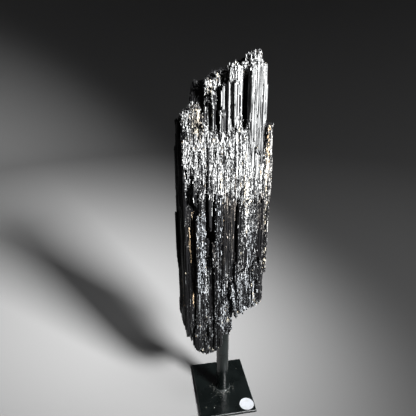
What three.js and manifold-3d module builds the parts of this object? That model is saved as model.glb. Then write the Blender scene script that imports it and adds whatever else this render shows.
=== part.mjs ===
// A black tourmaline (schorl) crystal bundle standing on a welded steel specimen stand.
// Millimetres, +Z up. The origin is the centre of the base plate's underside, +X runs along
// the plate's short side and +Y along its long side, away from the side the stone faces.
import * as THREE from "three";
import { mergeVertices } from "three/addons/utils/BufferGeometryUtils.js";
import Module from "manifold-3d";

const wasm = await Module();
wasm.setup();

// ---------------------------------------------------------------- driving dimensions
const PLATE_WIDTH = 73; // along X
const PLATE_DEPTH = 91; // along Y
const PLATE_THICKNESS = 4;
const PLATE_EDGE_BREAK = 0.6; // chamfer round the plate's edges
const POST_DIAMETER = 16;
const POST_TOP = 128; // height of the post's end, inside the stone
const POST_SIDES = 32;
const WELD_WIDTH = 3; // how far the weld bead spreads from the post
const WELD_HEIGHT = 2.4;
const BORE_CLEARANCE = 0.3; // round the post and above its end
const LABEL_DIAMETER = 19;
const LABEL_THICKNESS = 0.35;
const LABEL_INSET_X = 10.5; // label centre from the plate's right edge
const LABEL_INSET_Y = 11; // label centre from the plate's front edge
const STONE_TURN = -9.2; // degrees that the stone's broad face is turned from the plate's

// ---------------------------------------------------------------- shape of the stone
// The stone has its own frame: x to the right along its broad face, y into the stone, z up,
// with the post on its z axis. Its broad face looks along -y.

// Skyline: height of the highest crystals against x.
const SKYLINE = [
  [-58, 320],
  [-54.5, 324],
  [-51, 350],
  [-48, 371],
  [-44, 377],
  [-35, 386],
  [-34.2, 404],
  [-28, 411],
  [-17.5, 415],
  [-7, 419.5],
  [10, 426.5],
  [19, 431.5],
  [21, 434.5],
  [31, 434],
  [36.5, 420.5],
  [39.5, 418.5],
  [40.5, 366],
  [50, 360],
];
// Underside: height of the lowest crystals against x, for y near UNDERSIDE_KEEL.
const UNDERSIDE = [
  [-58, 150],
  [-53.5, 132],
  [-50, 119.5],
  [-42.5, 95],
  [-34, 78],
  [-22, 70.5],
  [-13, 73.5],
  [-3.5, 81],
  [3.5, 88],
  [8.5, 105],
  [11.5, 124],
  [22, 134],
  [34, 143],
  [42, 147],
  [46.5, 167],
  [49, 192],
];
const UNDERSIDE_KEEL = -8; // y of the underside's lowest line
const UNDERSIDE_RISE_FRONT = 0.95; // the underside climbs away from the keel, per mm of y
const UNDERSIDE_RISE_BACK = 0.8;
const CREST = 6; // y of the skyline; the top falls away in front of it and behind it
const CREST_FALL_FRONT = 0.3;
const CREST_FALL_BACK = 0.55;

// Plan of the bundle, anticlockwise seen from above, starting at the front's left corner.
const PLAN = [
  [-41, -26],
  [-8, -31],
  [31, -31],
  [40, -21],
  [43.5, -4],
  [41, 15],
  [25, 30],
  [-6, 33],
  [-37, 28],
  [-52, 13],
  [-54, -5],
];

// Crystals of the broad face, left to right: x of the middle, width, y of the front face,
// height of the lower and upper end. An end left out follows the underside or the skyline.
const FACE_CRYSTALS = [
  // lower half, up to the etched belt
  { x: -39, width: 11.5, front: -26, to: 316 },
  { x: -26, width: 8.6, front: -33.5, from: 181, to: 279 },
  { x: -25.4, width: 3, front: -32, from: 262, to: 300 },
  { x: -27, width: 11, front: -29, to: 308 },
  { x: -16, width: 11, front: -21, to: 292 },
  { x: -16, width: 10, front: -26, to: 238 },
  { x: -10.3, width: 5.4, front: -33, from: 218, to: 246 },
  { x: -6.5, width: 6.4, front: -33.5, from: 244, to: 300 },
  { x: -7, width: 7.4, front: -30, to: 334 },
  { x: 4, width: 14.4, front: -31.5, from: 196, to: 290 },
  { x: 2.5, width: 13, front: -28.5, to: 300 },
  { x: 17.6, width: 7.6, front: -34, to: 342 },
  { x: 25.5, width: 9, front: -33, to: 334 },
  { x: 31.2, width: 5, front: -31.5, from: 170, to: 312 },
  { x: 37.3, width: 7.6, front: -28.5, to: 300 },
  { x: 43, width: 5.4, front: -26.5, from: 206, to: 304 },
  { x: 39, width: 9, front: -25, to: 304 },
  // etched belt and left shoulder
  { x: -40.5, width: 9, front: -21, from: 290, to: 374 },
  { x: -31, width: 10, front: -25, from: 300, to: 382 },
  { x: -22, width: 8, front: -27, from: 304, to: 368 },
  { x: -13, width: 10, front: -27, from: 296, to: 358 },
  { x: -2, width: 13, front: -29, from: 288, to: 358 },
  { x: 9, width: 11, front: -30, from: 288, to: 362 },
  { x: 18.5, width: 8.6, front: -31, from: 304, to: 365 },
  { x: 40, width: 6, front: -26, from: 294, to: 326 },
  // tower
  { x: -17, width: 7.4, front: -19.5, from: 334, to: 397 },
  { x: -11.8, width: 4.2, front: -22.5, from: 334, to: 396 },
  { x: -4.2, width: 3.4, front: -24.5, from: 334, to: 401 },
  { x: -0.2, width: 4.8, front: -23.5, from: 334, to: 409 },
  { x: 4.9, width: 5.8, front: -26.5, from: 334, to: 418 },
  { x: 10.9, width: 6.2, front: -27.5, from: 334, to: 420 },
  { x: 16.4, width: 3.2, front: -22, from: 334, to: 390 },
  { x: 29.6, width: 16.4, front: -29.5, from: 302, to: 420 },
];
const FACE_CRYSTAL_REACH = 22; // how far a face crystal runs back into the stone

// Deep gaps between crystals of the broad face: x of the middle, width, height of the lower
// and upper end, and y of the floor.
const GAPS = [
  { x: 17.9, width: 6, from: 372, to: 413.5, floor: -13 },
  { x: 12.7, width: 2.2, from: 376, to: 394, floor: -21 },
  { x: 0, width: 6.5, from: 409, to: 424, floor: -10 },
  { x: -8.4, width: 4.4, from: 367, to: 391, floor: -13 },
  { x: -19, width: 2.8, from: 376, to: 391, floor: -13 },
  { x: 39.4, width: 2.6, from: 328, to: 369, floor: -8 },
  { x: 12.5, width: 2.4, from: 230, to: 287, floor: -25 },
  { x: -12.5, width: 4, from: 247, to: 289, floor: -22 },
];
const GAP_REACH = 30; // how far a gap's cut runs forward from its floor

// Middles of the crystals that fill the bundle.
const HEART_COLUMNS = [-43, -25.5, -12, 2, 17, 31];
const HEART_ROWS = [0, 11, 22];

// Slender crystal that stands free along the stone's right edge.
const EDGE_CRYSTAL = { x: 43.2, y: -9, width: 8, depth: 11, from: 196, to: 365 };

const SMALLEST_STEP = 0.25; // anything finer is smoothed away

// Zones of the broad face that are deeply etched into short, broken needles: the belt, the
// slope at the lower right and the foot.
const ETCHED_ZONES = [
  { left: -42, right: 38, from: 288, to: 362, front: -28, needles: 68 },
  { left: 8, right: 41, from: 150, to: 226, front: -32, needles: 24 },
  { left: -40, right: 8, from: 92, to: 150, front: -28, needles: 18 },
];

// Broken stubs at the summit, on the tower's left side and on the left shoulder.
const TUFTS = [
  { x: 25, y: -5, z: 427, size: 10 },
  { x: 28.5, y: -9, z: 428.5, size: 11 },
  { x: 31, y: -17, z: 420, size: 9 },
  { x: 25, y: -18, z: 420, size: 9 },
  { x: 18, y: -18, z: 420, size: 9 },
  { x: 13, y: -17, z: 418, size: 9 },
  { x: 7, y: -17, z: 417, size: 9 },
  { x: -7.5, y: -12, z: 410, size: 9 },
  { x: -17, y: -13, z: 404, size: 10 },
  { x: -14, y: -18, z: 396, size: 8 },
  { x: -31, y: -18, z: 374, size: 11 },
  { x: -26.5, y: -21, z: 371, size: 9 },
  { x: -37, y: -16, z: 375, size: 11 },
  { x: -43, y: -11, z: 367, size: 11 },
  { x: -38, y: -22, z: 362, size: 10 },
  { x: -28, y: -25, z: 360, size: 9 },
  { x: 18.5, y: -27, z: 358, size: 10 },
];

// ---------------------------------------------------------------- small tools
// Repeatable random numbers between 0 and 1 (a 32-bit linear congruential generator).
let randomState = 36;
function random() {
  randomState = (Math.imul(randomState, 1664525) + 1013904223) >>> 0;
  return randomState / 4294967296;
}
const between = (low, high) => low + (high - low) * random();
const clamp = (value, low, high) => Math.min(high, Math.max(low, value));
const radians = (degrees) => (degrees * Math.PI) / 180;

// Height of a broken line of [x, z] points at x.
function heightAt(line, x) {
  if (x <= line[0][0]) return line[0][1];
  for (let i = 1; i < line.length; i++) {
    const [x0, z0] = line[i - 1];
    const [x1, z1] = line[i];
    if (x <= x1) return z0 + ((z1 - z0) * (x - x0)) / (x1 - x0);
  }
  return line[line.length - 1][1];
}

function topAt(x, y) {
  const fall = y < CREST ? (CREST - y) * CREST_FALL_FRONT : (y - CREST) * CREST_FALL_BACK;
  return heightAt(SKYLINE, x) - fall;
}

// The lowest skyline, and the highest underside, over a crystal's whole width.
const across = (height, x, y, width) => [-0.4, 0, 0.4].map((k) => height(x + k * width, y));
const topOver = (x, y, width) => Math.min(...across(topAt, x, y, width));
const bottomOver = (x, y, width) => Math.max(...across(bottomAt, x, y, width));

function bottomAt(x, y) {
  const away = y - UNDERSIDE_KEEL;
  const rise = away < 0 ? -away * UNDERSIDE_RISE_FRONT : away * UNDERSIDE_RISE_BACK;
  return heightAt(UNDERSIDE, x) + rise;
}

// Slope of a height function at a point, kept within a limit.
function slopeAt(height, x, y, limit = 0.8) {
  const reach = 3;
  const sx = (height(x + reach, y) - height(x - reach, y)) / (2 * reach);
  const sy = (height(x, y + reach) - height(x, y - reach)) / (2 * reach);
  return [clamp(sx, -limit, limit), clamp(sy, -limit, limit)];
}

// A closed three.js geometry as a manifold-3d solid.
function solidOf(geometry) {
  const bare = new THREE.BufferGeometry();
  bare.setAttribute("position", geometry.getAttribute("position"));
  if (geometry.index) bare.setIndex(geometry.index);
  const merged = mergeVertices(bare, 1e-4);
  const mesh = new wasm.Mesh({
    numProp: 3,
    vertProperties: new Float32Array(merged.attributes.position.array),
    triVerts: new Uint32Array(merged.index.array),
  });
  return new wasm.Manifold(mesh);
}

function geometryOf(solid) {
  const mesh = solid.getMesh();
  const geometry = new THREE.BufferGeometry();
  geometry.setAttribute("position", new THREE.BufferAttribute(mesh.vertProperties, 3));
  geometry.setIndex(new THREE.BufferAttribute(mesh.triVerts, 1));
  return geometry;
}

const joined = (solids) => wasm.Manifold.union(solids);

// The outer skin alone: gaps sealed in between crystals are filled, and loose chips dropped.
function outerSkin(solid) {
  return solid.decompose().reduce((a, b) => (b.volume() > a.volume() ? b : a));
}

// ---------------------------------------------------------------- crystals
// Plan of a crystal with a flat, ribbed face towards -y and a plain back.
function ribbedShape(width, depth, ribs, relief) {
  const w = width / 2;
  const d = depth / 2;
  const corner = Math.min(width, depth) * 0.16;
  const points = [[-w, -d + corner * between(0.6, 1.6)]];
  const span = width - 2 * corner;
  for (let i = 0; i <= ribs; i++) {
    const shift = i > 0 && i < ribs ? between(-0.4, 0.4) / ribs : 0;
    const inwards = i % 2 ? between(0.4, 1) * relief : between(0, 0.6) * relief;
    points.push([-w + corner + span * (i / ribs + shift), -d + inwards]);
  }
  points.push([w, -d + corner * between(0.6, 1.6)], [w * 0.9, d], [-w * 0.9, d]);
  return new THREE.Shape(points.map(([x, y]) => new THREE.Vector2(x, y)));
}

// One upright prism. ends holds the slopes of its lower and its upper end, and turn is the
// angle from -y that its ribbed face looks in, in radians.
function crystal({ x, y, width, depth, from, to, ends, turn = 0, ribs = 3, relief = 0.8 }) {
  const shape = ribbedShape(width, depth, ribs, relief);
  const height = to - from;
  const geometry = new THREE.ExtrudeGeometry(shape, { depth: height, bevelEnabled: false });
  geometry.rotateZ(turn);
  const lean = [between(-0.006, 0.006), between(-0.006, 0.006)];
  const position = geometry.getAttribute("position");
  for (let i = 0; i < position.count; i++) {
    const px = position.getX(i);
    const py = position.getY(i);
    const atTop = position.getZ(i) > height / 2;
    const [sx, sy] = ends[atTop ? 1 : 0];
    const z = (atTop ? to : from) + sx * px + sy * py;
    const up = z - (from + to) / 2;
    position.setXYZ(i, x + px + lean[0] * up, y + py + lean[1] * up, z);
  }
  return solidOf(geometry);
}

// Slopes for two broken ends that follow the underside and the skyline roughly.
function brokenEnds(x, y, unevenness) {
  return [bottomAt, topAt].map((height) =>
    slopeAt(height, x, y).map((slope) => slope + between(-unevenness, unevenness)),
  );
}

const looseEnds = (steepness) =>
  [0, 1].map(() => [between(-steepness, steepness), between(-steepness, steepness)]);

// Crystals that fill the middle of the bundle, on a jittered grid.
function heart() {
  const solids = [];
  for (const column of HEART_COLUMNS) {
    for (const row of HEART_ROWS) {
      const x = column + between(-1, 1);
      const y = row + between(-2, 2);
      const width = between(15, 18);
      solids.push(
        crystal({
          x,
          y,
          width,
          depth: between(17, 20),
          from: bottomOver(x, y, width) + between(0, 6),
          to: topOver(x, y, width) - between(0, 5),
          ends: brokenEnds(x, y, 0.2),
          turn: between(-0.2, 0.2),
          ribs: 2,
        }),
      );
    }
  }
  return solids;
}

function faceCrystals() {
  return FACE_CRYSTALS.map(({ x, width, front, from, to }) => {
    const y = front + FACE_CRYSTAL_REACH / 2;
    const [lower, upper] = brokenEnds(x, front, 0.25);
    const [looseLower, looseUpper] = looseEnds(0.5);
    return crystal({
      x,
      y,
      width,
      depth: FACE_CRYSTAL_REACH,
      from: from ?? bottomOver(x, y, width),
      to: to ?? topOver(x, y, width),
      ends: [from ? looseLower : lower, to ? looseUpper : upper],
      turn: between(-0.05, 0.05),
      ribs: 2 * Math.round(width / 3.4),
      relief: between(0.6, 1.3),
    });
  });
}

// The plan as a path that a point can travel round.
function planPath() {
  const path = new THREE.Path(PLAN.map(([x, y]) => new THREE.Vector2(x, y)));
  path.closePath();
  return path;
}

const onBroadFace = (p) => p.y < -24 && p.x > -41 && p.x < 40;

// Crystals round the sides and the back.
function rimCrystals() {
  const path = planPath();
  const length = path.getLength();
  const solids = [];
  for (let along = 0; along < length; along += between(5.5, 9)) {
    const p = path.getPointAt(along / length);
    if (onBroadFace(p)) continue;
    const ahead = path.getTangentAt(along / length);
    const depth = between(14, 18);
    const inset = depth / 2 + between(-1, 3.5);
    const x = p.x - ahead.y * inset;
    const y = p.y + ahead.x * inset;
    const width = between(7, 13);
    solids.push(
      crystal({
        x,
        y,
        width,
        depth,
        from: bottomOver(x, y, Math.max(width, depth)) + between(0, 12),
        to: topOver(x, y, Math.max(width, depth)) - between(0, 1) ** 2 * 34,
        ends: brokenEnds(x, y, 0.35),
        turn: Math.atan2(ahead.y, ahead.x) + between(-0.15, 0.15),
        ribs: 4,
        relief: 1.2,
      }),
    );
  }
  return solids;
}

// Slender ribs that stand proud of the surface all round, in overlapping rows.
function ribs(count) {
  const path = planPath();
  const solids = [];
  for (let i = 0; i < count; i++) {
    const at = (i + between(0, 1)) / count;
    const p = path.getPointAt(at);
    const ahead = path.getTangentAt(at);
    const depth = 5;
    const inset = depth / 2 + between(-1.1, 1.4);
    const x = p.x - ahead.y * inset;
    const y = p.y + ahead.x * inset;
    const low = bottomAt(x, y) + 4;
    const high = topAt(x, y) - 4;
    const length = between(14, 70);
    const from = low + (high - low - length) * random();
    solids.push(
      crystal({
        x,
        y,
        width: between(2.2, 4.6),
        depth,
        from,
        to: from + length,
        ends: looseEnds(1.2),
        turn: Math.atan2(ahead.y, ahead.x) + between(-0.5, 0.5),
        ribs: 1,
        relief: 0.6,
      }),
    );
  }
  return solids;
}

// Short broken needles that crowd an etched zone of the broad face.
function etchedNeedles({ left, right, from, to, front, needles }) {
  const solids = [];
  for (let i = 0; i < needles; i++) {
    const x = between(left, right);
    const y = front + 3.5 - 3 * random();
    const length = between(7, 26);
    const foot = between(from, to - length);
    if (foot < bottomAt(x, y) + 8) continue;
    solids.push(
      crystal({
        x,
        y,
        width: between(2, 4.2),
        depth: 7,
        from: foot,
        to: foot + length,
        ends: looseEnds(1.4),
        turn: between(-0.6, 0.6),
        ribs: 1,
        relief: 0.6,
      }),
    );
  }
  return solids;
}

// A tuft of short broken stubs round a point.
function tuft({ x, y, z, size }) {
  return [0, 1, 2, 3].map((i) =>
    crystal({
      x: x + between(-0.35, 0.35) * size,
      y: y + between(-0.1, 0.3) * size,
      width: between(0.45, 0.7) * size,
      depth: between(0.6, 0.9) * size,
      from: z - between(0.6, 1.6) * size,
      to: z + (i ? between(-0.3, 0.4) : 0.45) * size,
      ends: looseEnds(0.8),
      turn: between(-0.8, 0.8),
      ribs: 2,
      relief: 0.1 * size,
    }),
  );
}

function gapCuts() {
  return GAPS.map(({ x, width, from, to, floor }) =>
    crystal({
      x,
      y: floor - GAP_REACH / 2,
      width,
      depth: GAP_REACH,
      from,
      to,
      ends: looseEnds(0.4),
      turn: between(-0.04, 0.04),
      ribs: 1,
      relief: 0,
    }),
  );
}

function stone() {
  const solids = [...heart(), ...faceCrystals(), ...rimCrystals(), ...ribs(84)];
  solids.push(...ETCHED_ZONES.flatMap(etchedNeedles), ...TUFTS.flatMap(tuft));
  solids.push(crystal({ ...EDGE_CRYSTAL, ends: looseEnds(0.3), turn: 0.5, ribs: 4 }));
  const boreRadius = POST_DIAMETER / 2 + BORE_CLEARANCE;
  const boreTop = POST_TOP + BORE_CLEARANCE;
  const bore = new THREE.CylinderGeometry(boreRadius, boreRadius, boreTop, POST_SIDES);
  bore.rotateX(Math.PI / 2).translate(0, 0, boreTop / 2);
  const cut = joined(solids).subtract(joined(gapCuts()));
  const bundle = outerSkin(cut).subtract(solidOf(bore));
  return outerSkin(bundle.asOriginal().simplify(SMALLEST_STEP));
}

// ---------------------------------------------------------------- stand
function plateGeometry() {
  const b = PLATE_EDGE_BREAK;
  const w = PLATE_WIDTH / 2 - b;
  const d = PLATE_DEPTH / 2 - b;
  const shape = new THREE.Shape([
    new THREE.Vector2(-w, -d),
    new THREE.Vector2(w, -d),
    new THREE.Vector2(w, d),
    new THREE.Vector2(-w, d),
  ]);
  const geometry = new THREE.ExtrudeGeometry(shape, {
    depth: PLATE_THICKNESS - 2 * b,
    bevelThickness: b,
    bevelSize: b,
    bevelSegments: 1,
  });
  return geometry.translate(0, 0, b);
}

// The post and the weld bead round its foot, standing on the plate.
function postGeometry() {
  const r = POST_DIAMETER / 2;
  const foot = PLATE_THICKNESS;
  const profile = [
    new THREE.Vector2(0, foot),
    new THREE.Vector2(r + WELD_WIDTH, foot),
    new THREE.Vector2(r + 0.65 * WELD_WIDTH, foot + 0.5 * WELD_HEIGHT),
    new THREE.Vector2(r, foot + WELD_HEIGHT),
    new THREE.Vector2(r, POST_TOP - 1),
    new THREE.Vector2(r - 1, POST_TOP),
    new THREE.Vector2(0, POST_TOP),
  ];
  return new THREE.LatheGeometry(profile, POST_SIDES).rotateX(Math.PI / 2);
}

function labelGeometry() {
  const r = LABEL_DIAMETER / 2;
  return new THREE.CylinderGeometry(r, r, LABEL_THICKNESS, 28).rotateX(Math.PI / 2);
}

// ---------------------------------------------------------------- assembly
const tourmalineBlack = { color: 0x0b0b0d, roughness: 0.3, metalness: 0 };
const blackPaint = { color: 0x17191a, roughness: 0.5, metalness: 0 };
const whitePaper = { color: 0xf1f1ee, roughness: 0.75, metalness: 0 };

function named(name, geometry, look) {
  geometry.computeVertexNormals();
  const mesh = new THREE.Mesh(geometry, new THREE.MeshStandardMaterial({ ...look, name }));
  mesh.name = name;
  return mesh;
}

const object = new THREE.Group();
object.add(named("base_plate", plateGeometry(), blackPaint));
object.add(named("post", postGeometry(), blackPaint));

const label = named("round_label", labelGeometry(), whitePaper);
label.position.set(
  PLATE_WIDTH / 2 - LABEL_INSET_X,
  -PLATE_DEPTH / 2 + LABEL_INSET_Y,
  PLATE_THICKNESS + LABEL_THICKNESS / 2,
);
object.add(label);

const tourmaline = named("tourmaline", geometryOf(stone()), tourmalineBlack);
const stoneGroup = new THREE.Group();
stoneGroup.rotation.z = radians(STONE_TURN);
stoneGroup.add(tourmaline);
object.add(stoneGroup);

export default object;
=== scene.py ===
import math

import bmesh
import bpy
import numpy as np
from mathutils import Matrix, Vector
from mathutils.bvhtree import BVHTree


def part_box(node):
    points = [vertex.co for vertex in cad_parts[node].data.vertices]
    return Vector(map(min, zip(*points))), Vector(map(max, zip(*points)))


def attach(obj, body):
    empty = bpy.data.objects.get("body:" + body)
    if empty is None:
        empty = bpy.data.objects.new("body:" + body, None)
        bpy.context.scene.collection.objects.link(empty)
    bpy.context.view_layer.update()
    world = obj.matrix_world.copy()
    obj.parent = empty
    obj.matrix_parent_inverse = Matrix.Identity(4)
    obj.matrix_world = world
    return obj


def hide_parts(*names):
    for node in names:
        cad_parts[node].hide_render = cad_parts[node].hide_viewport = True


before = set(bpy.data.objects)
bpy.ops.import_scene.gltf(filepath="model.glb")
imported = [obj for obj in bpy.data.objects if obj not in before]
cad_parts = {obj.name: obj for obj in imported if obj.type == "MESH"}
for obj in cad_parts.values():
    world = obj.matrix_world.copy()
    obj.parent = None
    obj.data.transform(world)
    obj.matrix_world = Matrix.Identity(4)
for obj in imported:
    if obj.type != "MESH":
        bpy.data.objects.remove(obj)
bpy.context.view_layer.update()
rng = np.random.default_rng(31)
scene = bpy.context.scene

MM = 0.001
STONE_TURN = math.radians(-9.2)  # how far the stone's broad face is turned from the plate's

# ---------------------------------------------------------------- camera
CAMERA_LENS = 33.23  # on a 36 mm sensor
CAMERA_PITCH = math.radians(22)
CAMERA_ROLL = math.radians(-0.4)
CAMERA_PLACE = Vector((-18, -403, 434)) * MM  # in the frame of the stone's broad face


def make_camera():
    data = bpy.data.cameras.new("camera")
    data.sensor_width = 36
    data.lens = CAMERA_LENS
    camera = bpy.data.objects.new("camera", data)
    scene.collection.objects.link(camera)
    turn = Matrix.Rotation(STONE_TURN, 4, "Z")
    tilt = Matrix.Rotation(math.pi / 2 - CAMERA_PITCH, 4, "X")
    roll = Matrix.Rotation(CAMERA_ROLL, 4, "Z")
    camera.matrix_world = turn @ Matrix.Translation(CAMERA_PLACE) @ tilt @ roll
    scene.camera = camera


# ---------------------------------------------------------------- the stone's own frame
# In this part of the script all points are in mm, in the frame of the stone's broad face:
# x to the right along it, y into it, z up from the plate's underside.
def turned(points, angle):
    c, s = math.cos(angle), math.sin(angle)
    spin = np.array([[c, -s, 0], [s, c, 0], [0, 0, 1]])
    return points @ spin.T


def to_stone(points):
    return turned(points, -STONE_TURN) / MM


def to_frame(points):
    return turned(points * MM, STONE_TURN)


def unit(vectors):
    return vectors / np.maximum(np.linalg.norm(vectors, axis=-1, keepdims=True), 1e-12)


def mesh_arrays(obj):
    """Vertices and triangles of an object, as arrays, with shared vertices merged."""
    bm = bmesh.new()
    bm.from_mesh(obj.data)
    bmesh.ops.remove_doubles(bm, verts=bm.verts, dist=1e-6)
    bmesh.ops.triangulate(bm, faces=bm.faces)
    points = np.array([v.co for v in bm.verts])
    triangles = np.array([[v.index for v in f.verts] for f in bm.faces])
    bm.free()
    return points, triangles


def make_object(name, points, faces):
    data = bpy.data.meshes.new(name)
    data.from_pydata(points.tolist(), [], faces)
    data.validate()
    obj = bpy.data.objects.new(name, data)
    scene.collection.objects.link(obj)
    return obj


# ---------------------------------------------------------------- how the stone's surface varies
# Lower and upper edge of the etched belt, as [x, z] points.
BELT_FOOT = [(-60, 318), (-42, 318), (-40.5, 282), (-37, 283), (-35.5, 313), (-23.5, 313), (-21.5, 301),
             (-13, 297), (-12, 290), (-3, 292), (1, 286), (5, 294), (9, 284), (13, 292), (17, 286), (23, 296),
             (27, 284), (32, 294), (37, 286), (41, 297), (44, 285), (50, 292)]
BELT_TOP = [(-60, 374), (-44, 376), (-37, 390), (-24, 390), (-22.5, 370), (-12, 366), (3, 368), (14, 374),
            (16, 368), (22, 366), (24, 346), (38, 342), (50, 330)]
# Lowest crystals near the keel, as [x, z] points, and how the underside climbs away from the keel.
UNDERSIDE = [(-53.5, 132), (-50, 119.5), (-42.5, 95), (-34, 78), (-22, 70.5), (-13, 73.5), (-3.5, 81),
             (3.5, 88), (8.5, 105), (11.5, 124), (22, 134), (34, 143), (42, 147), (46.5, 167)]
KEEL, RISE_FRONT, RISE_BACK = -8, 0.95, 0.8
# Left, right, lower end and upper end of a part of the broad face in mm, and how strong it is there.
ETCHED = [
    (-30.3, -21.6, 180, 279, 0.9),
    (-27, -23.8, 276, 302, 0.9),
    (-22.5, -18.5, 168, 188, 0.9),
    (-9.8, -6.3, 244, 300, 0.9),
    (-13, -7.5, 217, 247, 0.9),
    (-36, -12, 284, 314, 0.25),
    (13.8, 33.5, 170, 300, 0.6),
    (19, 29, 200, 306, 0.8),
    (40.5, 50, 203, 300, 0.5),
    (-9.5, 37, 135, 197, 1.0),
    (-38, 8, 60, 150, 0.4),
    (-22, -10, 391, 413, 1.0),
    (-11, -4, 405, 422, 1.0),
    (3.5, 21, 414, 429, 1.0),
    (19, 36, 420, 440, 1.0),
]
# Lumps at the top, on which even the darker bits are painted grey: painted light, for the light that falls on
# their tops.
LIT_LUMPS = [
    (-22, -10, 398, 415, 0.6),
    (-12.5, -3, 410, 422, 0.7),
    (3.5, 21, 410, 430, 1.3),
    (19, 36, 419, 440, 1.3),
]
# Painted sheen: smooth faces painted lighter along their growth lines, for the sheen that the light makes on
# them.
PAINTED_SHEEN_FACES = [
    (-60, 60, 0, 500, 0.12),
    (-46, -9, 75, 205, 0.3),
    (-42, -31, 205, 290, 0.22),
    (-3, 12, 200, 291, 0.3),
    (34, 41, 180, 293, 0.25),
    (-24, -10, 366, 400, 0.45),
    (-8, 14.6, 366, 421, 1.25),
    (14.6, 19, 372, 391, 0.3),
    (20.5, 41, 330, 425, 0.72),
    (41, 50, 293, 372, 0.6),
]
# Smooth faces on which the painted sheen is even.
EVEN_PAINTED_SHEEN = [(20.5, 41, 330, 425, 1.0), (-8, 14.6, 366, 421, 0.9), (-3, 12, 200, 291, 0.3)]
# Painted shade: hollows and darker parts that lie in shade, where the stone is painted darker or black.
PAINTED_SHADE = [
    (-60, -44, 0, 374, 1.0),
    (-44, -21, 387.5, 412, 1.0),
    (-21, -10, 246, 287, 1.0),
    (11, 13.8, 229, 285, 1.0),
    (17.8, 21, 388, 410, 1.0),
    (14.6, 18, 391, 411, 0.8),
    (38, 50, 290, 327, 0.45),
    (35.6, 40.3, 328, 369, 1.0),
    (-3.5, 3, 413, 420, 0.8),
    (-11, -6, 367, 391, 0.8),
    (-20.5, -17.5, 376, 391, 0.8),
    (11.5, 13.5, 377, 394, 1.0),
]
# Crystals that stand further out than in the CAD solid, or less far, by the last number in mm.
PUSHED = [
    (-22.5, -10, 362, 415, 5.0),
    (-10, 3, 340, 425, 4.0),
    (-5.6, -1.4, 330, 384, -4.0),
    (3.4, 7.5, 364, 425, 1.0),
    (7.5, 10.6, 367, 411, -0.6),
    (14.6, 17.8, 362, 393, 3.0),
    (-43, -20, 296, 386, 3.0),
    (-20, -3, 294, 360, 3.0),
    (-3, 10, 294, 362, 2.4),
    (-14.5, -11, 366, 396, 1.5),
    (35.6, 40.3, 328, 369, -6.0),
]
# Tints: bluish, brownish and creamy parts.
BLUISH = [(-31, -21, 180, 280, 1.0), (-10, -3, 219, 291, 1.0), (24, 33, 190, 260, 0.8),
          (-10, 38, 120, 205, 0.8), (-50, 10, 60, 180, 0.6)]
BROWNISH = [(-3, 12, 225, 292, 1.0), (34, 42, 235, 295, 0.8), (-21, -10, 225, 290, 0.8),
            (-42, -32, 120, 280, 0.8)]
CREAMY = [(-35, -23, 356, 384, 0.7), (-18, -11, 398, 405, 0.8), (41, 50, 200, 372, 0.5),
          (19.5, 22, 285, 310, 0.8)]
NEUTRAL, CREAM, OCHRE = 0.25, 0.6, 1.0  # values of "tint"; 0 is bluish
# Ochre clay and cream crusts in the gaps: x, width, lower end, upper end, tint, and how dense they are.
CRUSTS = [
    (-34.8, 0.9, 250, 277, OCHRE, 1.5),
    (-38.4, 0.8, 231, 258, OCHRE, 1.2),
    (-37.4, 0.7, 203, 230, OCHRE, 1.0),
    (-36.0, 0.8, 157, 190, OCHRE, 0.8),
    (-47.5, 1.2, 149, 165, OCHRE, 2.0),
    (-48.5, 0.9, 175, 185, OCHRE, 1.5),
    (-34.0, 0.9, 112, 125, OCHRE, 1.5),
    (-43.1, 1.0, 350, 358, OCHRE, 2.0),
    (42.2, 1.2, 299, 326, CREAM, 1.0),
    (44.0, 3.0, 322, 368, OCHRE, 0.8),
    (44.0, 3.0, 205, 296, CREAM, 0.35),
    (33.4, 3.0, 165, 180, CREAM, 7.0),
    (38.5, 2.0, 156, 163, CREAM, 3.0),
    (4.9, 2.5, 134, 142, CREAM, 2.0),
    (7.0, 2.0, 116, 124, CREAM, 2.0),
    (-24.0, 3.5, 90, 98, CREAM, 3.0),
    (-13.0, 6.0, 88, 96, CREAM, 1.0),
    (-4.5, 1.0, 303, 322, CREAM, 1.5),
    (23.2, 2.4, 276, 312, CREAM, 1.2),
    (22.0, 2.6, 250, 300, NEUTRAL, 3.0),
    (11.2, 0.7, 285, 305, NEUTRAL, 1.5),
    (2.4, 0.8, 186, 206, NEUTRAL, 2.0),
    (-12.6, 2.5, 352, 358, CREAM, 2.0),
    (-28.0, 5.0, 360, 372, CREAM, 2.0),
    (-22.0, 6.0, 74, 83, CREAM, 5.0),
    (-13.0, 8.0, 73, 80, NEUTRAL, 5.0),
    (-4.0, 5.0, 79, 88, CREAM, 2.0),
    (2.0, 4.0, 87, 99, NEUTRAL, 4.0),
]
CRUST_BITS = 1.4  # bits per mm of height at density 1
SPARSE = 0.06  # share of stray grains outside the etched parts
FACE_DEPTH = -2  # y behind which the broad face ends
LEVELLING = 0.6  # how much of the steps between the belt's crystals is evened out
BELT_DEPTH, BELT_BEND = -29, 7  # y of the belt's middle, and how much further back it lies 40 mm to the side


def along(line, x):
    return np.interp(x, [p[0] for p in line], [p[1] for p in line])


def inside(value, low, high, soft):
    return np.clip((value - low) / soft + 0.5, 0, 1) * np.clip((high - value) / soft + 0.5, 0, 1)


def strongest(parts, x, z):
    amount = np.zeros(len(x))
    for left, right, low, high, strength in parts:
        amount = np.maximum(amount, strength * inside(x, left, right, 1.0) * inside(z, low, high, 6))
    return amount


def pushed(points):
    """The points with some crystals of the broad face brought forward."""
    x, y, z = points.T
    shift = sum(mm * inside(x, left, right, 0.8) * inside(z, low, high, 6)
                for left, right, low, high, mm in PUSHED)
    return np.column_stack([x, y - shift * (y < FACE_DEPTH), z])


def belt(x, z):
    """How far points lie inside the etched belt across the broad face."""
    return inside(z, along(BELT_FOOT, x), along(BELT_TOP, x), 9)


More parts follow.
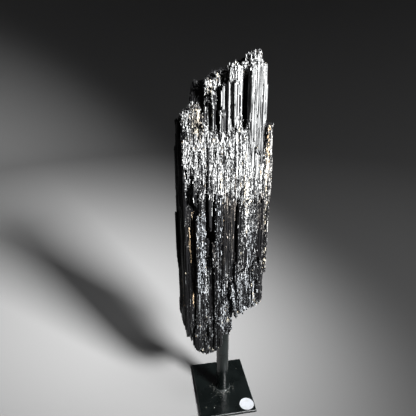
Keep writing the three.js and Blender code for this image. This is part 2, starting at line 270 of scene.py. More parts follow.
def levelled(points):
    """The points with the steps between the belt's crystals evened out."""
    x, y, z = points.T
    share = LEVELLING * belt(x, z) * np.clip((FACE_DEPTH - y) / 12, 0, 1)
    level = BELT_DEPTH + BELT_BEND * (x / 40) ** 2
    return np.column_stack([x, y + share * (level - y), z])


def above_slope(points):
    """How far points lie above the sloping underside."""
    x, y, z = points.T
    return z - along(UNDERSIDE, x) - np.maximum(RISE_FRONT * (KEEL - y), RISE_BACK * (y - KEEL))


def pale(points):
    """Where even the darker bits are grey: in the etched belt, and, as painted light, on the lumps at the
    top.
    """
    x, _, z = points.T
    return np.maximum(belt(x, z), strongest(LIT_LUMPS, x, z))


def surface(points, wobble=0.0):
    """How etched the stone is at some points, how much sheen is painted on it, its tint, and how much of it
    the painted shade leaves lit.

    wobble mm of chance makes the edges of the parts ragged."""
    shift = wobble * (rng.normal(0, 1, points.shape) if wobble else np.zeros(points.shape))
    x, y, z = (points + (1, 2, 4) * shift).T
    front = (y < FACE_DEPTH).astype(float)
    # Painted shade: light is 1 in the open and falls to 0 on the shaded hollows and darker parts.
    light = 1 - strongest(PAINTED_SHADE, points[:, 0], points[:, 2])
    rim = 0.7 * np.clip((4 - above_slope(points)) / 3, 0, 1) * (x > -30)
    etched = np.maximum(np.maximum(belt(x, z), strongest(ETCHED, x, z)), rim) * light * front
    # Painted sheen on the smooth faces, kept off the painted shade, half as strong behind the broad face.
    painted_sheen = strongest(PAINTED_SHEEN_FACES, x, z) * light * np.where(front > 0, 1, 0.5)
    tint = NEUTRAL * (1 - strongest(BLUISH, x, z)) + 0.12 * strongest(BROWNISH, x, z)
    tint = np.maximum(tint, CREAM * strongest(CREAMY, x, z))
    return etched, painted_sheen, tint, light


# ---------------------------------------------------------------- prisms
def prisms(place, out, low, high, width, bed, proud, lean=0.004, slant=1.0, taper=1.0, sides=5):
    """Corners of many small upright prisms with 3 or 5 sides, as an array (prism, 2 * sides, 3).

    place is a point on the surface and out the way it faces. low and high are the ends below and
    above place, bed how deep the prism is set in, and proud how far it stands out. lean tips its
    axis, slant tips its ends, and taper narrows its upper end."""
    n = len(place)
    lean, slant, taper = (np.broadcast_to(value, n) for value in (lean, slant, taper))
    axis = unit(np.column_stack([rng.normal(0, 1, (n, 2)) * lean[:, None], np.ones(n)]))
    side = unit(np.cross(axis, out))
    front = np.cross(side, axis)
    half = width / 2
    if sides == 3:
        u = np.stack([-half, half, half * rng.uniform(-0.7, 0.7, n)], 1)
        v = np.stack([-bed, -bed, proud], 1)
    else:
        u = np.stack([-half, half, half * rng.uniform(0.45, 0.95, n),
                      half * rng.uniform(-0.35, 0.35, n), -half * rng.uniform(0.45, 0.95, n)], 1)
        v = np.stack([-bed, -bed, proud * rng.uniform(0.1, 0.9, n), proud,
                      proud * rng.uniform(0.1, 0.9, n)], 1)
    rings = []
    for level, narrow in ((low, np.ones(n)), (high, taper)):
        tip = rng.uniform(-1, 1, (2, n, 1)) * slant[None, :, None]
        rise = level[:, None] + tip[0] * u + tip[1] * v
        k = narrow[:, None]
        rings.append(place[:, None] + rise[..., None] * axis[:, None]
                     + (k * u)[..., None] * side[:, None] + (k * v)[..., None] * front[:, None])
    return np.concatenate(rings, 1)


def prism_faces(sides):
    low, high = list(range(sides)), list(range(sides, 2 * sides))
    return [low[::-1], high] + [[i, (i + 1) % sides, (i + 1) % sides + sides, i + sides] for i in low]


def prism_mesh(corners):
    """One list of points and one of faces for many prisms."""
    size = corners.shape[1]
    shape = prism_faces(size // 2)
    faces = [[start + i for i in face] for start in range(0, size * len(corners), size) for face in shape]
    return corners.reshape(-1, 3), faces


def apart(corners, gap):
    """Sorts prisms into groups in which no two come within gap of each other."""
    low, high = corners.min(1) - gap / 2, corners.max(1) + gap / 2
    groups = []
    for k in range(len(corners)):
        for group in groups:
            if not ((low[group] < high[k]) & (high[group] > low[k])).all(1).any():
                group.append(k)
                break
        else:
            groups.append([k])
    return groups


def carved(obj, corners):
    """Cuts the prisms out of the object."""
    for group in apart(corners, 0.05):
        tool = make_object("tool", *prism_mesh(corners[group]))
        cut = obj.modifiers.new("cut", "BOOLEAN")
        cut.operation = "DIFFERENCE"
        cut.solver = "MANIFOLD"
        cut.object = tool
        with bpy.context.temp_override(object=obj, active_object=obj):
            bpy.ops.object.modifier_apply(modifier=cut.name)
        bpy.data.objects.remove(tool)


class Skin:
    """The stone's rough surface, as triangles that can be sampled and measured."""

    def __init__(self, points, triangles):
        self.corners = points[triangles]
        a, b, c = self.corners.transpose(1, 0, 2)
        cross = np.cross(b - a, c - a)
        self.area = np.linalg.norm(cross, axis=1) / 2
        self.normal = unit(cross)
        self.tree = BVHTree.FromPolygons(points.tolist(), triangles.tolist())

    def sample(self, count, weight):
        chance = self.area * weight
        pick = rng.choice(len(chance), count, p=chance / chance.sum())
        r, s = np.sqrt(rng.random(count)), rng.random(count)
        mix = np.stack([1 - r, r * (1 - s), r * s], 1)
        return (self.corners[pick] * mix[..., None]).sum(1), self.normal[pick]

    def holds(self, points, tolerance):
        """Which points lie on this surface."""
        return np.array([self.tree.find_nearest(Vector(p), tolerance)[0] is not None for p in points])

    def below(self, points, normals):
        """Where this surface lies under points of a surface round it, and its normals there."""
        places, ways = points.copy(), normals.copy()
        for k, (point, normal) in enumerate(zip(points, normals)):
            hit = self.tree.ray_cast(Vector(point + 2 * normal), -Vector(normal), 12)
            if hit[0] is not None:
                places[k], ways[k] = hit[0], hit[1]
        return places, ways

    def run(self, place, out, reach, tolerance):
        """How far the surface goes on from place, along z, before it steps away by tolerance."""
        step, stand_off = 4.0, 6.0
        start = Vector(place) + Vector(out) * stand_off
        gone = 0.0
        while gone < abs(reach):
            gone += step
            ray = start + Vector((0, 0, math.copysign(gone, reach)))
            hit = self.tree.ray_cast(ray, -Vector(out), 2 * stand_off)
            if hit[0] is None or abs(hit[3] - stand_off) > tolerance:
                return gone - step
        return abs(reach)


def swung(normal, spread):
    """Level directions near the normals, swung at random about the vertical."""
    angle = np.arctan2(normal[:, 1], normal[:, 0]) + rng.normal(0, spread, len(normal))
    return np.column_stack([np.cos(angle), np.sin(angle), np.zeros(len(normal))])


def grooves(whole, count):
    """Long narrow gaps between neighbouring crystals."""
    place, normal = whole.sample(count, np.abs(whole.normal[:, 2]) < 0.3)
    out = swung(normal, 0)
    reach = 10 ** rng.uniform(0.9, 1.6, count)
    width = rng.uniform(0.7, 1.5, count)
    return prisms(place, out, -reach, reach * rng.uniform(0.5, 1, count), width,
                  rng.uniform(1.5, 3.5, count), np.full(count, 1.5), taper=rng.uniform(0.3, 1, count))


# The cut mesh can differ a little from run to run, such as in the order of its vertices. So chance only
# picks places on the whole stone, and the places are then moved down onto the cut surface.
def etched_places(whole, count, steepest, sparse=0.0):
    """Points on the etched surface that isn't steeper than a limit, and their normals."""
    place, normal = whole.sample(8 * count, np.abs(whole.normal[:, 2]) < steepest)
    etched, _, _, light = surface(place, 1.2)
    stray = sparse * light * (place[:, 1] < FACE_DEPTH)
    keep = rng.random(len(place)) < np.maximum(etched, stray)
    return place[keep][:count], normal[keep][:count]


def pits(whole, count):
    """Deep short hollows that the etching left."""
    place, normal = etched_places(whole, count, 0.6)
    n = len(place)
    height = 10 ** rng.uniform(0.3, 1.0, n)
    return prisms(place, swung(normal, 0.3), -height / 2, height / 2, rng.uniform(0.9, 2.6, n),
                  rng.uniform(1.5, 4.5, n), np.full(n, 2.0), lean=0.1, taper=rng.uniform(0.4, 1, n))


def ridges(skin, whole, count):
    """Fine ridges along the prism faces: the striation that the crystals grew with."""
    place, normal = whole.sample(count, np.abs(whole.normal[:, 2]) < 0.4)
    out = swung(normal, 0)
    reach = 10 ** rng.uniform(0.9, 1.75, (2, count))
    up, down = ([skin.run(p, o, r, 1.2) for p, o, r in zip(place, out, sign * part)]
                for sign, part in zip((1, -1), reach))
    up, down = np.array(up), np.array(down)
    width = rng.uniform(0.6, 1.9, count)
    corners = prisms(place, swung(normal, 0.25), -down - 0.6, up + 0.6, width, np.full(count, 1.2),
                     width * rng.uniform(0.12, 0.5, count), slant=1.5)
    etched, painted_sheen, tint, light = surface(place, 0.5)
    variety = rng.choice([0.2, 0.75, 1.1], count, p=[0.35, 0.35, 0.3])
    # The ridges carry the painted sheen, evenly on the even faces, and frost where etched.
    even = strongest(EVEN_PAINTED_SHEEN, place[:, 0], place[:, 2])
    frost_and_painted_light = painted_sheen * (variety + even * (1 - variety)) + (0.3 + 0.3 * pale(place)) * etched
    # A tenth of the ridges in front get extra painted sheen, except in the painted shade.
    stray = (rng.random(count) < 0.1) * (place[:, 1] < FACE_DEPTH) * (place[:, 0] > -40)
    frost_and_painted_light += 0.5 * stray * light
    keep = skin.holds(place, 0.05) & (up + down > 6)
    return corners[keep], frost_and_painted_light[keep], tint[keep]


def grains(skin, whole, count, sides, shortest, longest, narrowest, widest):
    """Short broken needles that crowd the etched zones."""
    place, normal = skin.below(*etched_places(whole, count, 0.8, SPARSE))
    n = len(place)
    length = 10 ** rng.uniform(math.log10(shortest), math.log10(longest), n)
    width = rng.uniform(narrowest, widest, n)
    bed = 1.5 if sides == 5 else 0.4
    corners = prisms(place, swung(normal, 0.5), -length / 2, length / 2, width, np.full(n, bed),
                     width * rng.uniform(0.3, 1.1, n), lean=0.12, slant=1.2,
                     taper=rng.uniform(0.45, 1, n), sides=sides)
    etched, _, tint, _ = surface(place, 1.0)
    tint = np.where(rng.random(n) < 0.02, rng.uniform(CREAM, OCHRE, n), tint)
    lit = rng.random(n) < 0.4 + 0.5 * etched
    bright = rng.uniform(0.9, 1.4, n)
    # Dim grains are greyer in the etched belt and, as painted light, on the lit lumps at the top.
    dim = rng.uniform(0, 0.4, n) + 0.5 * pale(place)
    return corners, np.where(lit, bright, dim), tint


def fringe(skin, whole, count):
    """Thin crystals that end along the underside's slope."""
    place, normal = whole.sample(count, np.abs(whole.normal[:, 2]) < 0.4)
    height = above_slope(place)
    keep = (height > 2) & (height < 18) & ((place[:, 0] < KEEL) | (rng.random(len(place)) < 0.3))
    height = height[keep]
    place, normal = skin.below(place[keep], normal[keep])
    n = len(place)
    width = rng.uniform(1.2, 3.4, n)
    out = swung(normal, 0.3)
    low = np.minimum(rng.normal(1.8, 0.9, n) - height, -1)
    corners = prisms(place, out, low, rng.uniform(2, 9, n), width, np.full(n, 2.5),
                     width * rng.uniform(0.2, 0.5, n), slant=1.2)
    etched, painted_sheen, tint, _ = surface(place, 0.5)
    # Frost where etched, and painted sheen on the smooth faces.
    frost_and_painted_light = np.maximum(0.6 * etched, painted_sheen) * rng.uniform(0.2, 1.3, n)
    return corners, frost_and_painted_light, tint


def stubs(skin, whole, count):
    """Broken ends that stand up from the crystals' tops and hang from their lower ends."""
    place, normal = whole.sample(count, np.abs(whole.normal[:, 2]) > 0.5)
    # None hang round the post.
    keep = (np.abs(place[:, 0]) + np.abs(place[:, 1]) > 14) | (place[:, 2] > 200)
    place, normal = skin.below(place[keep], normal[keep])
    n = len(place)
    length = 10 ** rng.uniform(-0.3, 0.33, n)
    up = normal[:, 2] > 0
    width = rng.uniform(0.9, 2.8, n)
    angle = rng.uniform(0, 2 * math.pi, n)
    out = np.column_stack([np.cos(angle), np.sin(angle), np.zeros(n)])
    corners = prisms(place, out, np.where(up, -3, -length), np.where(up, length, 3), width, width / 2,
                     width / 2, lean=0.12, slant=0.7, taper=np.where(up, rng.uniform(0.6, 1, n), 1))
    etched, _, tint, light = surface(place, 1.0)
    # The rim behind the top is painted black: painted shade, as it lies in shadow. The painted shade of the
    # hollows keeps frost off too.
    foremost = np.where((place[:, 2] > 400) & (place[:, 0] < 18), -18, 3)
    frost_and_painted_light = np.maximum(etched, 0.3) * rng.uniform(0.5, 1.2, n) * (place[:, 1] < foremost) * light
    tint = np.where(rng.random(n) < 0.06, CREAM, tint)
    return corners, frost_and_painted_light, tint


def crusts(skin, whole):
    """Bits of clay and pale crust lodged in the gaps."""
    rows = []
    for x, width, low, high, tint, density in CRUSTS:
        n = round((high - low) * density * CRUST_BITS)
        rows.append(np.column_stack([rng.normal(x, width / 3, n), rng.uniform(low, high, n),
                                     rng.normal(tint, 0.08, n)]))
    rows = np.concatenate(rows)
    in_front = -80
    hits = [whole.tree.ray_cast(Vector((x, in_front, z)), Vector((0, 1, 0))) for x, z, _ in rows]
    rows = rows[[hit[0] is not None for hit in hits]]
    place, normal = (np.array([hit[part] for hit in hits if hit[0] is not None]) for part in (0, 1))
    place, normal = skin.below(place, normal)
    n = len(place)
    length = rng.uniform(0.8, 3.5, n)
    width = rng.uniform(0.8, 1.6, n)
    corners = prisms(place, swung(normal, 0.4), -length / 2, length / 2, width, np.full(n, 0.7),
                     width * rng.uniform(0.4, 0.9, n), lean=0.08, slant=0.8, taper=rng.uniform(0.6, 1, n))
    return corners, rng.uniform(0.8, 1.3, n), np.clip(rows[:, 2], NEUTRAL, 1)


def sliced(obj, step):
    """Cuts the front faces at level planes, so that their tone can vary along them."""
    bm = bmesh.new()
    bm.from_mesh(obj.data)
    levels = [v.co.z for v in bm.verts]
    for level in np.arange(min(levels) + step, max(levels), step):
        faces = [f for f in bm.faces if f.verts[0].co.y < 0
                 and min(v.co.z for v in f.verts) < level < max(v.co.z for v in f.verts)]
        edges = dict.fromkeys(e for f in faces for e in f.edges)
        verts = dict.fromkeys(v for f in faces for v in f.verts)
        bmesh.ops.bisect_plane(bm, geom=[*verts, *edges, *faces], dist=0.05,
                               plane_co=(0, 0, level), plane_no=(0, 0, 1))
    bmesh.ops.triangulate(bm, faces=bm.faces)
    bm.to_mesh(obj.data)
    bm.free()


def stone_piece(name, material, points, faces, frost_and_painted_light, tint):
    """A piece of the stone, kept inside the CAD solid's box, with a tone (its frost and painted light), a
    tint and its even painted sheen at each point.
    """
    even = strongest(EVEN_PAINTED_SHEEN, points[:, 0], points[:, 2]) * (points[:, 1] < FACE_DEPTH)
    low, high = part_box("tourmaline")
    piece = make_object(name, np.clip(to_frame(points), np.array(low), np.array(high)), faces)
    for key, values in (("frost_and_painted_light", frost_and_painted_light), ("tint", tint), ("even", even)):
        piece.data.attributes.new(key, "FLOAT", "POINT").data.foreach_set("value", values)
    piece.data.materials.append(material)
    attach(piece, "root")
    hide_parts("tourmaline")


# How light a prism's corners are, round it: painted shade in the creases at its foot where it meets its
# neighbours, lightest along its crest.
PAINTED_CREASE_SHADE = {3: [-0.3, -0.3, 1.1], 5: [-1.2, -1.2, 0.65, 1.1, 0.65]}
WITH_CREASE_SHADE = ("tourmaline_ridges", "tourmaline_needles", "tourmaline_chips", "tourmaline_crumbs",
          "tourmaline_fringe")


def make_stone():
    points, triangles = mesh_arrays(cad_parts["tourmaline"])
    core = make_object("core", to_stone(points), triangles.tolist())
    sliced(core, step=7)
    points, triangles = mesh_arrays(core)
    bpy.data.objects.remove(core)
    points = levelled(pushed(points))
    whole = Skin(points, triangles)
    core = make_object("core", points, triangles.tolist())
    carved(core, np.concatenate([grooves(whole, count=260), pits(whole, count=520)]))
    points, triangles = mesh_arrays(core)
    bpy.data.objects.remove(core)
    skin = Skin(points, triangles)
    etched, painted_sheen, tint, _ = surface(points)
    growth = tourmaline_material("tourmaline", streaky=True)
    broken = tourmaline_material("tourmaline_etched", streaky=False)
    # Frost where etched and painted sheen elsewhere; greyer in the belt and, as painted light, on the lit
    # lumps.
    frost_and_painted_light = np.maximum((0.45 + 0.45 * pale(points)) * etched, painted_sheen)
    stone_piece("tourmaline_core", growth, points, triangles.tolist(), frost_and_painted_light, tint)
    layers = {
        "tourmaline_ridges": (growth, ridges(skin, whole, count=15000)),
        "tourmaline_needles": (broken, grains(skin, whole, count=9000, sides=5, shortest=2.2, longest=10,
                                              narrowest=0.5, widest=1.2)),
        "tourmaline_chips": (broken, grains(skin, whole, count=24000, sides=3, shortest=0.8, longest=2.6,
                                            narrowest=0.8, widest=1.5)),
        "tourmaline_crumbs": (broken, grains(skin, whole, count=22000, sides=3, shortest=0.6, longest=1.6,
                                             narrowest=0.6, widest=1.2)),
        "tourmaline_fringe": (growth, fringe(skin, whole, count=14000)),
        "tourmaline_stubs": (broken, stubs(skin, whole, count=3000)),
        "tourmaline_crusts": (broken, crusts(skin, whole)),
    }
    for name, (material, (corners, frost_and_painted_light, tint)) in layers.items():
        points, faces = prism_mesh(corners)
        # Painted crease shade at the feet of the prisms in these layers.
        crease_shade = PAINTED_CREASE_SHADE[corners.shape[1] // 2] if name in WITH_CREASE_SHADE else [1.0] * corners.shape[1]
        frost_and_painted_light = (frost_and_painted_light[:, None] * np.resize(crease_shade, corners.shape[1])).ravel()
        stone_piece(name, material, points, faces, frost_and_painted_light, np.repeat(tint, corners.shape[1]))


# ---------------------------------------------------------------- materials
def new_material(name):
    material = bpy.data.materials.new(name)
    material.use_nodes = True
    nodes = material.node_tree.nodes
    return material, nodes, material.node_tree.links, nodes["Principled BSDF"]


def noise(nodes, links, scale, detail=2.0):
    """A noise texture in the piece's own frame. scale is per metre, along x, y and z."""
    place = nodes.new("ShaderNodeTexCoord")
    mapping = nodes.new("ShaderNodeMapping")
    mapping.inputs["Scale"].default_value = scale
    texture = nodes.new("ShaderNodeTexNoise")
    texture.inputs["Scale"].default_value = 1
    texture.inputs["Detail"].default_value = detail
    links.new(place.outputs["Object"], mapping.inputs["Vector"])
    links.new(mapping.outputs["Vector"], texture.inputs["Vector"])
    return texture.outputs["Fac"]


def math_node(nodes, links, operation, first, second, clamp=False):
    node = nodes.new("ShaderNodeMath")
    node.operation = operation
    node.use_clamp = clamp
    for socket, value in zip(node.inputs, (first, second)):
        if isinstance(value, (int, float)):
            socket.default_value = value
        else:
            links.new(value, socket)
    return node.outputs[0]


def ramp(nodes, links, value, stops):
    """A colour ramp with stops of (position, colour)."""
    node = nodes.new("ShaderNodeValToRGB")
    points = node.color_ramp.elements
    while len(points) < len(stops):
        points.new(0.5)
    for point, (position, colour) in zip(points, stops):
        point.position = position
        point.color = (*colour, 1)
    links.new(value, node.inputs[0])
    return node.outputs[0]


def attribute(nodes, name):
    node = nodes.new("ShaderNodeAttribute")
    node.attribute_name = name
    return node.outputs["Fac"]


def tourmaline_material(name, streaky):
    """Black crystal, light where its surface is etched and where sheen is painted on: in specks and streaks,
    or in specks alone.
    """
    material, nodes, links, shader = new_material(name)
    shader.inputs["IOR"].default_value = 1.63
    shader.inputs["Specular IOR Level"].default_value = 0.22 if streaky else 0.12
    specks = noise(nodes, links, (700, 700, 550), 1)
    streaks = noise(nodes, links, (800, 800, 60) if streaky else (1100, 1100, 900), 1)
    both = math_node(nodes, links, "ADD", specks, streaks)
    # Where the frost and painted light are 0 almost nothing is light, and where they are 1 only the noise's
    # low places are dark.
    raised = math_node(nodes, links, "MULTIPLY_ADD", attribute(nodes, "frost_and_painted_light"), 0.6)
    raised.node.inputs[2].default_value = -1.3
    share = math_node(nodes, links, "ADD", both, raised)
    share = math_node(nodes, links, "MULTIPLY", share, 2.6, clamp=True)
    if streaky:
        # Smooth faces with an even painted sheen are grey all over, with faint streaks.
        grey = math_node(nodes, links, "MULTIPLY_ADD", attribute(nodes, "frost_and_painted_light"), 0.5)
        links.new(math_node(nodes, links, "SUBTRACT", streaks, 0.55), grey.node.inputs[2])
        blend = nodes.new("ShaderNodeMix")
        for socket, value in zip((blend.inputs[0], blend.inputs[2], blend.inputs[3]),
                                 (attribute(nodes, "even"), share, grey)):
            links.new(value, socket)
        share = blend.outputs[0]
    colour = nodes.new("ShaderNodeMix")
    colour.data_type = "RGBA"
    colour.inputs[6].default_value = (0.007, 0.007, 0.0075, 1)
    strength = 1.0 if streaky else 1.05
    tones = (
        (0.0, (0.275, 0.29, 0.305)),
        (NEUTRAL, (0.28, 0.285, 0.285)),
        (0.37, (0.2, 0.18, 0.16)),
        (CREAM, (0.47, 0.44, 0.36)),
        (OCHRE, (0.33, 0.25, 0.165)),
    )
    light = ramp(nodes, links, attribute(nodes, "tint"),
                 [(position, tuple(strength * np.array(tone))) for position, tone in tones])
    links.new(light, colour.inputs[7])
    links.new(share, colour.inputs[0])
    links.new(colour.outputs[2], shader.inputs["Base Color"])
    bump = nodes.new("ShaderNodeBump")
    bump.inputs["Strength"].default_value = 0.5
    bump.inputs["Distance"].default_value = 0.0003
    links.new(both, bump.inputs["Height"])
    links.new(bump.outputs["Normal"], shader.inputs["Normal"])
    shader.inputs["Roughness"].default_value = 0.3 if streaky else 0.45
    return material


def mixed(nodes, links, share, first, second):
    """A colour between two, each a colour or a colour socket."""
    node = nodes.new("ShaderNodeMix")
    node.data_type = "RGBA"
    links.new(share, node.inputs[0])
    for socket, colour in ((node.inputs[6], first), (node.inputs[7], second)):
        if isinstance(colour, tuple):
            socket.default_value = (*colour, 1)
        else:
            links.new(colour, socket)
    return node.outputs[2]


def above(nodes, links, value, limit, slope):
    """1 where value is above limit, 0 where it is below, with a soft step between."""
    node = nodes.new("ShaderNodeMapRange")
    node.inputs["From Min"].default_value = limit - 0.5 / slope
    node.inputs["From Max"].default_value = limit + 0.5 / slope
    links.new(value, node.inputs["Value"])
    return node.outputs["Result"]


def rough(nodes, links, shader, value, low, high):
    node = nodes.new("ShaderNodeMapRange")
    node.inputs["To Min"].default_value = low
    node.inputs["To Max"].default_value = high
    links.new(value, node.inputs["Value"])
    links.new(node.outputs["Result"], shader.inputs["Roughness"])


def bumpy(nodes, links, shader, height, strength, distance):
    node = nodes.new("ShaderNodeBump")
    node.inputs["Strength"].default_value = strength
    node.inputs["Distance"].default_value = distance
    links.new(height, node.inputs["Height"])
    links.new(node.outputs["Normal"], shader.inputs["Normal"])


def paint_material():
    """Satin black paint on steel: clouded, dusty, finely scratched, and lighter along its bevelled edges, for
    wear and as a painted highlight.
    """
    material, nodes, links, shader = new_material("black_paint")
    clouds = noise(nodes, links, (45, 45, 45), 4)
    cloudy = above(nodes, links, clouds, 0.5, 4)
    colour = mixed(nodes, links, cloudy, (0.002, 0.0035, 0.0034), (0.005, 0.0075, 0.0073))
    dust = above(nodes, links, noise(nodes, links, (1500, 1500, 1500), 1), 0.74, 12)
    colour = mixed(nodes, links, dust, colour, (0.05, 0.05, 0.048))
    scratches = above(nodes, links, noise(nodes, links, (35, 1900, 35), 1), 0.72, 16)
    colour = mixed(nodes, links, scratches, colour, (0.022, 0.025, 0.025))
    up = nodes.new("ShaderNodeSeparateXYZ")
    links.new(nodes.new("ShaderNodeNewGeometry").outputs["True Normal"], up.inputs[0])
    # The broken edges of the plate face half upwards. Their lighter colour is partly wear and partly a
    # painted highlight.
    bevel = math_node(nodes, links, "COMPARE", up.outputs["Z"], 0.7)
    bevel.node.inputs[2].default_value = 0.15
    patches = above(nodes, links, noise(nodes, links, (300, 300, 300), 3), 0.45, 6)
    worn_and_painted_highlight = math_node(nodes, links, "MULTIPLY", bevel, patches)
    colour = mixed(nodes, links, worn_and_painted_highlight, colour, (0.09, 0.095, 0.095))
    links.new(colour, shader.inputs["Base Color"])
    rough(nodes, links, shader, clouds, 0.2, 0.36)
    shader.inputs["Specular IOR Level"].default_value = 0.8
    bumpy(nodes, links, shader, noise(nodes, links, (2200, 2200, 2200), 2), 0.12, 0.00005)
    return material


def paper_material():
    """Matte paper with fibres, a little soiled."""
    material, nodes, links, shader = new_material("white_paper")
    soil = above(nodes, links, noise(nodes, links, (160, 160, 160), 4), 0.56, 5)
    colour = mixed(nodes, links, soil, (0.44, 0.46, 0.49), (0.39, 0.4, 0.41))
    fibres = noise(nodes, links, (900, 2600, 900), 3)
    colour = mixed(nodes, links, above(nodes, links, fibres, 0.62, 8), colour, (0.35, 0.365, 0.4))
    links.new(colour, shader.inputs["Base Color"])
    rough(nodes, links, shader, fibres, 0.7, 0.9)
    bumpy(nodes, links, shader, fibres, 0.3, 0.00004)
    return material


def grit_material():
    """Pale grit and dried glue, grey to brownish."""
    material, nodes, links, shader = new_material("grit")
    shade = noise(nodes, links, (900, 900, 900), 2)
    links.new(mixed(nodes, links, above(nodes, links, shade, 0.5, 6), (0.36, 0.36, 0.35), (0.2, 0.19, 0.17)),
              shader.inputs["Base Color"])
    rough(nodes, links, shader, shade, 0.6, 0.9)
    return material


# ---------------------------------------------------------------- stand
# In this part all points are in mm in the CAD's own frame.
PLATE_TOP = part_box("base_plate")[1][2] / MM
POST_RADIUS = 8
POST_TURNS, LABEL_TURNS = 120, 72  # points round each
WELD_WIDTH, WELD_HEIGHT = 3, 2.4
LABEL_PAPER = 0.1  # thickness of the label's paper


def circle(turns):
    """Angles all the way round."""
    return np.arange(turns) * 2 * math.pi / turns


def ripple(angle, lowest, highest):
    """A smooth random curve round a circle, between 0 and 1."""
    waves = range(lowest, highest)
    value = sum(rng.uniform(0.4, 1) * np.sin(k * angle + rng.uniform(0, 2 * math.pi)) for k in waves)
    return (value - value.min()) / (value.max() - value.min())


def ringed(rings):
    """A closed body through rings of points, each one an array (turns, 3)."""
    turns = len(rings[0])
    faces = [list(range(turns))[::-1], list(range((len(rings) - 1) * turns, len(rings) * turns))]
    for start in range(0, (len(rings) - 1) * turns, turns):
        faces += [[start + i, start + (i + 1) % turns, start + turns + (i + 1) % turns, start + turns + i]
                  for i in range(turns)]
    return np.concatenate(rings), faces


def stand_piece(name, points, faces, material, slot, node=None, smooth=True):
    piece = make_object(name, points * MM, faces)
    piece.data.materials.append(material)
    if smooth:
        piece.data.shade_smooth()
        piece.data.set_sharp_from_angle(angle=math.radians(40))
    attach(piece, "root")
    if node:
        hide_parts(node)


def make_post(paint):
    """Round bar with a little unevenness under its paint, and the lumpy weld bead round its foot."""
    low, high = (corner[2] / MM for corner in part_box("post"))
    angle = circle(POST_TURNS)
    height = WELD_HEIGHT * (0.72 + 0.28 * ripple(angle, 7, 19))
    width = WELD_WIDTH * (0.8 + 0.2 * ripple(angle, 6, 17))
    bead = [(1.0, 0.0), (0.96, 0.35), (0.74, 0.72), (0.42, 0.93), (0.12, 1.0)]
    foot = np.maximum(low, PLATE_TOP)
    profile = [(POST_RADIUS + bead[0][0] * width, np.full(POST_TURNS, low))]
    profile += [(POST_RADIUS + part * width, foot + rise * height) for part, rise in bead]
    for z in np.linspace(PLATE_TOP + WELD_HEIGHT + 0.8, high, 40):
        profile.append((POST_RADIUS - 0.07 * ripple(angle, 2, 6), np.full(POST_TURNS, z)))
    rings = [np.column_stack([r * np.cos(angle), r * np.sin(angle), z + 0 * angle]) for r, z in profile]
    stand_piece("post_painted", *ringed(rings), paint, "black_paint", "post")


def make_label(paper):
    """A round sticker, not quite round any more, with its rim curling off the plate."""
    low, high = (np.array(corner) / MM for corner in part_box("round_label"))
    centre, radius = (low + high) / 2, (high[0] - low[0]) / 2
    curl = high[2] - low[2] - LABEL_PAPER
    angle = circle(LABEL_TURNS)
    edge = radius * (1 - 0.035 * ripple(angle, 2, 5))
    lift = curl * ripple(angle, 1, 4)
    rings = []
    parts = (0.2, 0.5, 0.75, 0.9, 1.0)
    for part, side in [*((k, 0) for k in parts), *((k, 1) for k in parts[::-1])]:
        z = low[2] + lift * part ** 6 + side * LABEL_PAPER
        rings.append(np.column_stack([centre[0] + part * edge * np.cos(angle),
                                      centre[1] + part * edge * np.sin(angle), z]))
    stand_piece("label_paper", *ringed(rings), paper, "white_paper", "round_label")


def make_grit(grit):
    """Bits of grit and dried glue round the weld, and a few crumbs on the plate."""
    low, high = (np.array(corner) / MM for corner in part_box("base_plate"))
    near, far = 105, 40
    angle = rng.normal(-math.pi / 2 - 0.3, 1.2, near)
    away = POST_RADIUS + WELD_WIDTH - 0.4 + rng.exponential(2.8, near)
    place = np.column_stack([away * np.cos(angle), away * np.sin(angle)])
    strewn = rng.uniform(low[:2] + 3, high[:2] - 3, (far, 2))
    crumbs, crumb_sizes = [(-17, -33), (-27.5, -31)], [0.8, 0.6]
    place = np.concatenate([place, strewn, crumbs])
    n = len(place)
    size = np.concatenate([10 ** rng.uniform(-0.75, -0.25, near), 10 ** rng.uniform(-0.8, -0.45, far),
                           crumb_sizes])
    out = [(1, 0, 0), (0, 1, 0), (-1, 0, 0), (0, -1, 0), (0, 0, 0.6), (0, 0, -0.3)]
    corners = np.array(out) * size[:, None, None] * rng.uniform(0.6, 1.3, (n, 6, 1))
    corners = turned(corners, 0.4) + np.column_stack([place, np.full(n, PLATE_TOP)])[:, None]
    ring = [0, 1, 2, 3]
    shape = [[ring[i], ring[(i + 1) % 4], 4] for i in ring] + [[ring[(i + 1) % 4], ring[i], 5] for i in ring]
    faces = [[6 * k + i for i in face] for k in range(n) for face in shape]
    stand_piece("weld_grit", corners.reshape(-1, 3), faces, grit, "black_paint", smooth=False)


def make_stand():
    paint = paint_material()
    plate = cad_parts["base_plate"]
    plate.data.materials.clear()
    plate.data.materials.append(paint)
    make_post(paint)
    make_label(paper_material())
    make_grit(grit_material())


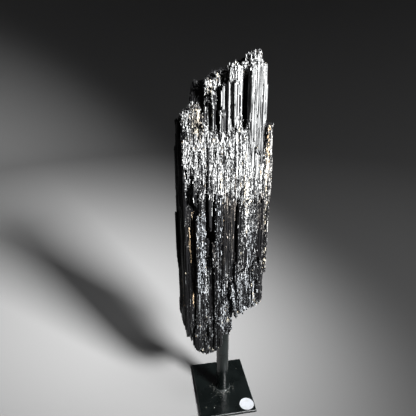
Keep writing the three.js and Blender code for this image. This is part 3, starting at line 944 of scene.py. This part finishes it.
# ---------------------------------------------------------------- studio
def area_light(name, azimuth, distance, height, aim, size, power, spread=180):
    """A soft square light. azimuth is degrees to the right of the view, seen from the object.

    It faces the height aim above the object's foot, or straight down where aim is None."""
    a = math.radians(azimuth) + STONE_TURN
    place = Vector((math.sin(a) * distance, -math.cos(a) * distance, height))
    target = Vector((0, 0, aim)) if aim is not None else place - Vector((0, 0, 1))
    data = bpy.data.lights.new(name, "AREA")
    data.size = size
    data.energy = power
    data.spread = math.radians(spread)
    light = bpy.data.objects.new(name, data)
    light.location = place
    light.rotation_mode = "QUATERNION"
    light.rotation_quaternion = (target - place).to_track_quat("-Z", "Y")
    light.visible_camera = False
    scene.collection.objects.link(light)


def bowl(radius, bend, height):
    """A round floor that bends up into a wall."""
    arc = [(radius - bend + bend * math.sin(a), bend - bend * math.cos(a))
           for a in np.linspace(0, math.pi / 2, 17)]
    profile = [(0.3, 0), *arc, (radius, height)]
    turns = 96
    points, faces = [], [list(range(turns))]
    for r, z in profile:
        points += [(r * math.cos(a), r * math.sin(a), z) for a in np.arange(turns) * 2 * math.pi / turns]
    for level in range(len(profile) - 1):
        ring = level * turns
        for i in range(turns):
            j = (i + 1) % turns
            faces.append([ring + i, ring + turns + i, ring + turns + j, ring + j])
    return np.array(points), faces


def make_studio():
    floor = make_object("floor", *bowl(radius=2.2, bend=0.8, height=1.6))
    floor.data.shade_smooth()
    material, _, _, shader = new_material("floor")
    shader.inputs["Base Color"].default_value = (0.25, 0.25, 0.25, 1)
    shader.inputs["Roughness"].default_value = 0.9
    floor.data.materials.append(material)
    world = bpy.data.worlds.new("studio")
    world.use_nodes = True
    world.node_tree.nodes["Background"].inputs["Color"].default_value = (0.07, 0.07, 0.072, 1)
    scene.world = world
    scene.view_settings.view_transform = "Standard"
    scene.view_settings.look = "Medium High Contrast"
    area_light("key", azimuth=46, distance=0.8, height=0.72, aim=0.355, size=0.26, power=6.3, spread=48)
    area_light("top", azimuth=60, distance=0.5, height=2.2, aim=None, size=0.5, power=6, spread=120)


make_camera()
make_stone()
make_stand()
make_studio()
